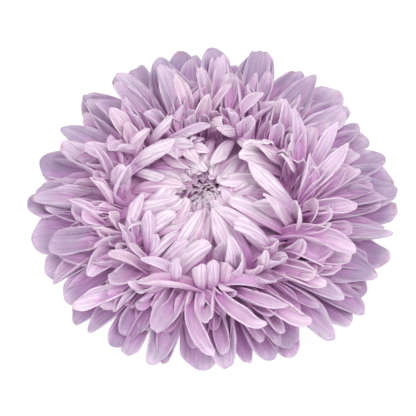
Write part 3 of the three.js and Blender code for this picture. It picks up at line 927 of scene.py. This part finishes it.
def makeLeaf():
    material, tree, shader = newMaterial('bract leaf')
    point = addNode(tree, 'ShaderNodeTexCoord').outputs['Object']
    uv = addNode(tree, 'ShaderNodeUVMap', uv_map='bladeMap').outputs[0]
    tone = addNode(tree, 'ShaderNodeAttribute', attribute_name='bladeTone').outputs['Fac']
    apart = addNode(tree, 'ShaderNodeSeparateXYZ', {0: uv}).outputs
    colour = mixColour(tree, tone, calyx['green'], calyx['light'])
    cloud = useGroup(tree, mottle, {'Point': point, 'Scale': 420.0})['Mask']
    colour = mixColour(tree, mathNode(tree, 'MULTIPLY', cloud, 0.4), colour, calyx['light'])
    across = mathNode(tree, 'ABSOLUTE', mathNode(tree, 'SUBTRACT', apart['X'], 0.5))
    midribMask = mapRange(tree, across, 0.07, 0.015)
    vein = useGroup(tree, veins, {'Map': uv, 'Blade': tone, 'Count': 5.0, 'Waver': 0.9})['Mask']
    lines = mathNode(tree, 'MAXIMUM', midribMask, mathNode(tree, 'MULTIPLY', vein, 0.35))
    colour = mixColour(tree, mathNode(tree, 'MULTIPLY', lines, 0.8), colour, calyx['vein'])
    colour = mixColour(tree, mapRange(tree, across, 0.42, 0.5), colour, calyx['edge'])
    dots = useGroup(tree, specks, {'Point': point, 'Scale': 320.0, 'Size': 0.12})['Mask']
    colour = mixColour(tree, mathNode(tree, 'MULTIPLY', dots, 0.5), colour, petal['speck'])
    tree.links.new(colour, shader['Base Color'])
    bump = addNode(tree, 'ShaderNodeBump', {'Height': lines, 'Strength': 0.5, 'Distance': 0.0003})
    tree.links.new(bump.outputs[0], shader['Normal'])
    tree.links.new(mapRange(tree, cloud, 0, 1, 0.5, 0.66), shader['Roughness'])
    shader['Subsurface Weight'].default_value = 0.15
    shader['Subsurface Radius'].default_value = (0.5, 1.0, 0.25)
    shader['Subsurface Scale'].default_value = 0.001
    return material


bractLeaf = makeLeaf()


def makeCup():
    bm = spinProfile(calyx['cup'], 48, 0)
    bm.verts.layers.float.new('bladeTone')
    bm.loops.layers.uv.new('bladeMap')
    cup = finishPiece(bm, 'bract_cup', 'bracts', [bractLeaf])
    subsurf = cup.modifiers.new('rounding', 'SUBSURF')
    subsurf.levels = subsurf.render_levels = 1


# A thin tapering hair from a point on a bract's edge
def addHair(bm, root, direction):
    turn = direction.to_track_quat('Z', 'Y').to_matrix().to_4x4()
    length = calyx['hairLength'] * mm
    placeAt = Matrix.Translation((root * mm) + direction * (length / 2)) @ turn
    radius = calyx['hairRadius'] * mm
    bmesh.ops.create_cone(bm, segments=3, radius1=radius, radius2=calyx['hairTip'] * radius, depth=length,
                          cap_ends=True, matrix=placeAt)


def makeHairSkin():
    material, tree, shader = newMaterial('fine hair')
    point = addNode(tree, 'ShaderNodeTexCoord').outputs['Object']
    cloud = useGroup(tree, mottle, {'Point': point, 'Scale': 700.0})['Mask']
    tree.links.new(mixColour(tree, cloud, (0.62, 0.66, 0.5), (0.75, 0.77, 0.66)), shader['Base Color'])
    shader['Roughness'].default_value = 0.5
    return material


def makeBracts():
    blades = newBladeMesh()
    hairs = bmesh.new()
    for rowNumber, row in enumerate(calyx['rows']):
        for j in range(row['count']):
            blade = bract(row, rowNumber, j)
            addBlade(blades, blade, 6, 10)
            rib = midrib(blade, bladeForm['ribSteps'])
            for k in range(calyx['hairs'] * 2):
                b = calyx['hairFrom'] + calyx['hairOver'] * (k // 2 + 0.5) / calyx['hairs']
                a = 1 if k % 2 else -1
                root = bladePoint(blade, rib, a * calyx['hairRoot'], b)
                ahead = bladePoint(blade, rib, a, b + calyx['hairSweep'])
                outDirection = ahead - bladePoint(blade, rib, a * calyx['hairBehind'], b)
                outDirection.z += calyx['hairRise'] * draw(k, j)
                addHair(hairs, root, outDirection.normalized())
    piece = finishPiece(blades, 'leafy_bracts', 'bracts', [bractLeaf, bractLeaf, bractLeaf])
    thicken(piece, calyx['thickness'])
    finishPiece(hairs, 'bract_hairs', 'bracts', [makeHairSkin()])
    print('bracts made')


makeCup()
makeBracts()

# The cut stub of the stem, ribbed along its length, with its pith at the cut
stub = {
    'radius': 2.55,
    'top': 3.5,
    'ribs': 10,
    'ribHeight': 0.14,
    'sides': 60,
    'skin': (0.20, 0.29, 0.08),
    'skinLight': (0.36, 0.42, 0.17),
    'wood': (0.42, 0.47, 0.24),
    'pith': (0.66, 0.68, 0.52),
}


def makeStalk():
    material, tree, shader = newMaterial('stalk')
    point = addNode(tree, 'ShaderNodeTexCoord').outputs['Object']
    middle = -atAxis()
    point = addNode(tree, 'ShaderNodeMapping', {'Vector': point, 'Location': middle}).outputs[0]
    apart = addNode(tree, 'ShaderNodeSeparateXYZ', {0: point}).outputs
    radius = addNode(tree, 'ShaderNodeVectorMath', {0: addNode(tree, 'ShaderNodeCombineXYZ', {
        'X': apart['X'], 'Y': apart['Y']}).outputs[0]}, operation='LENGTH').outputs['Value']
    cloud = useGroup(tree, mottle, {'Point': point, 'Scale': 900.0})['Mask']
    skin = mixColour(tree, cloud, stub['skin'], stub['skinLight'])
    pith = mixColour(tree, mathNode(tree, 'MULTIPLY', cloud, 0.5), stub['pith'], stub['wood'])
    edge = stub['radius'] * mm
    colour = mixColour(tree, mapRange(tree, radius, 0.62 * edge, 0.7 * edge), pith, stub['wood'])
    colour = mixColour(tree, mapRange(tree, radius, 0.86 * edge, 0.93 * edge), colour, skin)
    tree.links.new(colour, shader['Base Color'])
    bump = addNode(tree, 'ShaderNodeBump', {'Height': cloud, 'Strength': 0.35, 'Distance': 0.0002})
    tree.links.new(bump.outputs[0], shader['Normal'])
    shader['Roughness'].default_value = 0.55
    return material


def makeStem():
    bm = bmesh.new()
    radius = stub['radius'] * mm
    bmesh.ops.create_cone(bm, segments=stub['sides'], radius1=radius, radius2=radius, depth=stub['top'] * mm,
                          cap_ends=True)
    bmesh.ops.translate(bm, verts=bm.verts, vec=(0, 0, 0.5 * stub['top'] * mm))
    for v in bm.verts:
        angle = math.atan2(v.co.y, v.co.x)
        grow = 1 + stub['ribHeight'] * math.cos(stub['ribs'] * angle) / stub['radius']
        v.co.x *= grow
        v.co.y *= grow
    ends = [f for f in bm.faces if len(f.verts) > 4]
    bmesh.ops.inset_region(bm, faces=ends, thickness=0.25 * mm, depth=0)
    bmesh.ops.translate(bm, verts=bm.verts, vec=atAxis())
    stem = finishPiece(bm, 'stem_stub', 'stem', [makeStalk()])
    bevel = stem.modifiers.new('worn cut', 'BEVEL')
    bevel.width = 0.12 * mm
    bevel.segments = 2
    print('stem made')


makeStem()

# Pale floor and soft light from above, a little from the right
studio = {
    'floorSize': 4,
    'floorColour': (0.05, 0.05, 0.05, 1),
    'floorGlow': 0.95,  # makes the floor pale with no shadow, as in the photograph
    'floorDepth': 0.0005,
    'sky': (1, 1, 1, 1),
    'skyStrength': 0.99,
    'lamps': [
        {'name': 'key', 'at': (0.3, -0.2, 0.75), 'size': 0.4, 'power': 2.2},
        {'name': 'fill', 'at': (-0.4, -0.5, 0.6), 'size': 0.6, 'power': 1.2},
    ],
    'aimHeight': 0.02,
}


def setStudio():
    bm = bmesh.new()
    bmesh.ops.create_grid(bm, x_segments=1, y_segments=1, size=studio['floorSize'] / 2)
    mesh = bpy.data.meshes.new('floor')
    bm.to_mesh(mesh)
    bm.free()
    floor = bpy.data.objects.new('floor', mesh)
    floor.location.z = -studio['floorDepth']
    bpy.context.scene.collection.objects.link(floor)
    material, tree, shader = newMaterial('pale floor')
    shader['Base Color'].default_value = studio['floorColour']
    shader['Roughness'].default_value = 0.9
    shader['Emission Color'].default_value = (1, 1, 1, 1)
    shader['Emission Strength'].default_value = studio['floorGlow']
    mesh.materials.append(material)
    world = bpy.data.worlds.new('soft sky')
    world.use_nodes = True
    sky = world.node_tree.nodes['Background'].inputs
    sky['Color'].default_value = studio['sky']
    sky['Strength'].default_value = studio['skyStrength']
    bpy.context.scene.world = world
    for lamp in studio['lamps']:
        light = bpy.data.lights.new(lamp['name'], 'AREA')
        light.size = lamp['size']
        light.energy = lamp['power']
        place = bpy.data.objects.new(lamp['name'], light)
        place.location = lamp['at']
        place.rotation_mode = 'QUATERNION'
        aim = Vector((0, 0, studio['aimHeight'])) - Vector(lamp['at'])
        place.rotation_quaternion = aim.to_track_quat('-Z', 'Y')
        bpy.context.scene.collection.objects.link(place)
    bpy.context.scene.view_settings.view_transform = 'Standard'
    print('studio set')


setStudio()
